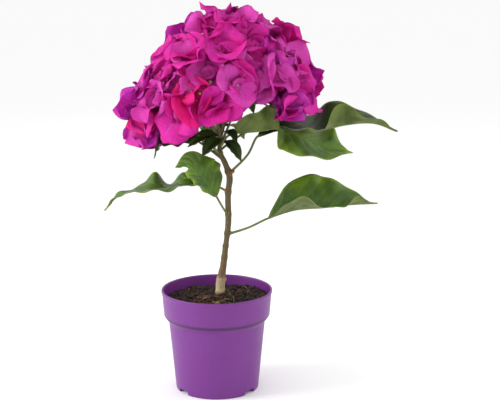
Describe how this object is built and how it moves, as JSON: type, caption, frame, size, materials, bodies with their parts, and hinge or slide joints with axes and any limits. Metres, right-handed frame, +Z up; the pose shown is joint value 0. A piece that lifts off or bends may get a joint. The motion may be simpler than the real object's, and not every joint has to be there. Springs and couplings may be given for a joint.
{
  "type": "potted bougainvillea",
  "caption": "Young bougainvillea on a single slender stem in a round nursery pot: a domed head of papery bracts over a few large leaves, for patio, shop and garden scenes.",
  "frame": {"origin": "middle of the pot's flat underside, which stands on the ground", "axes": "+Z up along the pot's axis; -Y towards the viewer; +X to the side of the largest leaves"},
  "size_m": [0.313, 0.2128, 0.412],
  "materials": {
    "pot": "satin moulded polypropylene with fine scuffs",
    "soil": "moist dark peat with fine roots",
    "bark": "olive-brown young bark, pale at the swollen foot",
    "green_wood": "green young wood",
    "leaf": "glossy mid-green blade with paler veins and margin",
    "bract": "papery magenta bracts with fine veins"
  },
  "bodies": {
    "root": {"pot": "pot", "soil": "soil", "stem": "bark", "bough_left": "green_wood", "bough_front_left": "green_wood", "bough_front": "green_wood", "bough_front_right": "green_wood", "bough_right": "green_wood", "bough_back_right": "green_wood", "bough_back": "green_wood", "bough_back_left": "green_wood", "bough_far_left": "green_wood", "bough_top_left": "green_wood", "bough_top_right": "green_wood", "bough_top_front": "green_wood", "bough_top_back": "green_wood", "bloom_left": "bract", "bloom_front_left": "bract", "bloom_front": "bract", "bloom_front_right": "bract", "bloom_right": "bract", "bloom_back_right": "bract", "bloom_back": "bract", "bloom_back_left": "bract", "bloom_far_left": "bract", "bloom_top_left": "bract", "bloom_top_right": "bract", "bloom_top_front": "bract", "bloom_top_back": "bract", "leaf_low_right": "leaf", "leaf_mid_right": "leaf", "leaf_high_right": "leaf", "leaf_low_left": "leaf", "leaf_mid_left": "leaf", "leaf_shade_left": "leaf", "leaf_back_right": "leaf", "leaf_back": "leaf", "leaf_back_left": "leaf"}
  },
  "joints": []
}
